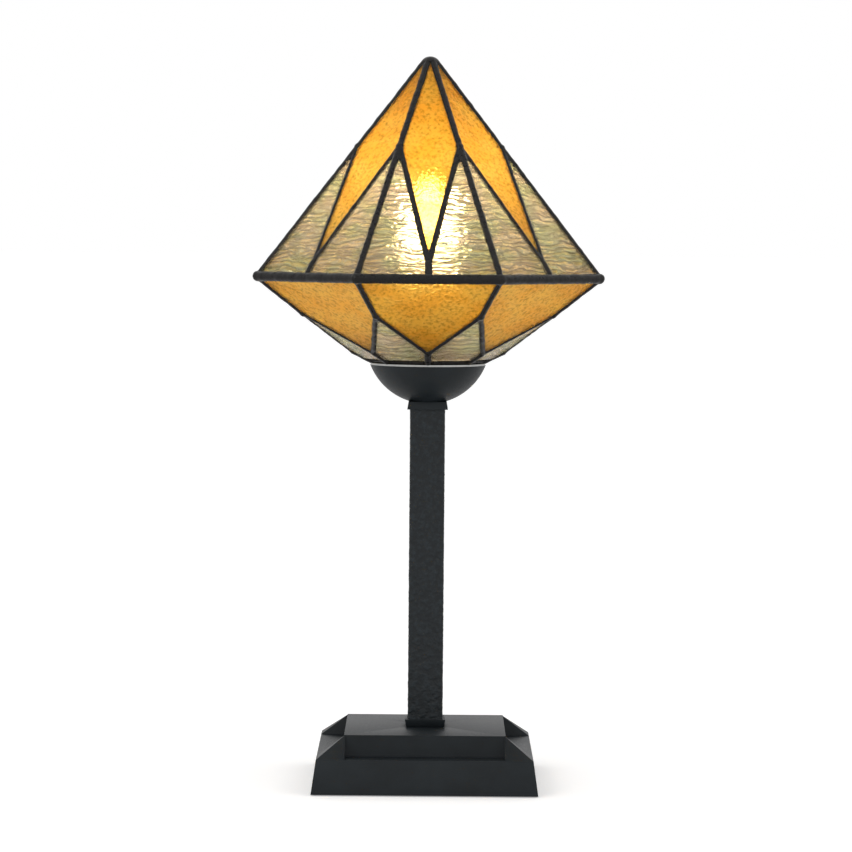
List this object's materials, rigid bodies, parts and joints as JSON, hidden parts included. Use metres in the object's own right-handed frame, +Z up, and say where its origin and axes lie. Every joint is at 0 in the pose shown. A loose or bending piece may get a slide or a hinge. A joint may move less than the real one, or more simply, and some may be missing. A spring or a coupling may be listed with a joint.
{
  "type": "stained glass table uplight",
  "caption": "Table uplight: an octagonal pyramid shade of leaded amber and clear glass that lifts off a dish on a square post and stepped base, over a screw-in candle bulb.",
  "frame": {"origin": "middle of the felt face that the lamp stands on", "axes": "+Z up along the post, -Y towards the front side of the shade, +X to its right"},
  "size_m": [0.2002, 0.2002, 0.4217],
  "materials": {
    "black_iron": "satin black over a finely pitted casting",
    "black_metal": "satin black",
    "plain_steel": "zinc plated",
    "felt": "green felt",
    "black_plastic": "moulded",
    "white_ceramic": "unglazed",
    "brass": "plain",
    "nickel_cap": "plated",
    "black_glass": "vitreous insulator",
    "frosted_glass": "frosted, lit",
    "amber_glass": "hammered cathedral glass",
    "clear_glass": "rippled clear glass",
    "dark_solder": "black-patinated solder"
  },
  "bodies": {
    "stand": {"base_casting": "black_iron", "base_cover": "plain_steel", "felt_sheet": "felt", "cover_screws": "plain_steel", "cord_bush": "black_plastic", "lower_nut": "plain_steel", "lower_washer": "plain_steel", "lower_cup": "black_metal", "post_tube": "black_metal", "threaded_rod": "plain_steel", "upper_cup": "black_metal", "dish": "black_metal", "dish_washer": "plain_steel", "dish_nut": "plain_steel", "holder_entry": "black_plastic", "holder_shell": "black_plastic", "ceramic_insert": "white_ceramic", "thread_shell": "brass", "centre_tongue": "brass"},
    "bulb_contact": {"bulb_button": "brass"},
    "bulb": {"bulb_insulator": "black_glass", "bulb_cap": "nickel_cap", "bulb_glass": "frosted_glass"},
    "shade": {"upper_amber_pane_1": "amber_glass", "upper_amber_pane_2": "amber_glass", "upper_amber_pane_3": "amber_glass", "upper_amber_pane_4": "amber_glass", "upper_amber_pane_5": "amber_glass", "upper_amber_pane_6": "amber_glass", "upper_amber_pane_7": "amber_glass", "upper_amber_pane_8": "amber_glass", "lower_amber_pane_1": "amber_glass", "lower_amber_pane_2": "amber_glass", "lower_amber_pane_3": "amber_glass", "lower_amber_pane_4": "amber_glass", "lower_amber_pane_5": "amber_glass", "lower_amber_pane_6": "amber_glass", "lower_amber_pane_7": "amber_glass", "lower_amber_pane_8": "amber_glass", "upper_clear_panes_1": "clear_glass", "upper_clear_panes_2": "clear_glass", "upper_clear_panes_3": "clear_glass", "upper_clear_panes_4": "clear_glass", "upper_clear_panes_5": "clear_glass", "upper_clear_panes_6": "clear_glass", "upper_clear_panes_7": "clear_glass", "upper_clear_panes_8": "clear_glass", "lower_clear_pane_1": "clear_glass", "lower_clear_pane_2": "clear_glass", "lower_clear_pane_3": "clear_glass", "lower_clear_pane_4": "clear_glass", "lower_clear_pane_5": "clear_glass", "lower_clear_pane_6": "clear_glass", "lower_clear_pane_7": "clear_glass", "lower_clear_pane_8": "clear_glass", "upper_leading": "dark_solder", "lower_leading": "dark_solder", "hem_frame": "dark_solder", "apex_cap": "dark_solder", "locating_ring": "plain_steel"}
  },
  "joints": [
    {"name": "bulb_rise", "type": "slide", "parent": "stand", "child": "bulb_contact", "axis": [0, 0, 1], "range_m": [0, 0.0113]},
    {"name": "bulb_turn", "type": "hinge", "parent": "bulb_contact", "child": "bulb", "pos_m": [0, 0, 0.2524], "axis": [0, 0, 1], "range_deg": [0, 1440]},
    {"name": "shade_lift", "type": "slide", "parent": "stand", "child": "shade", "axis": [0, 0, 1], "range_m": [0, 0.13]}
  ],
  "couplings": [
    {"joint": "bulb_rise", "follows": "bulb_turn", "m_per_rad": 0.00044882}
  ]
}
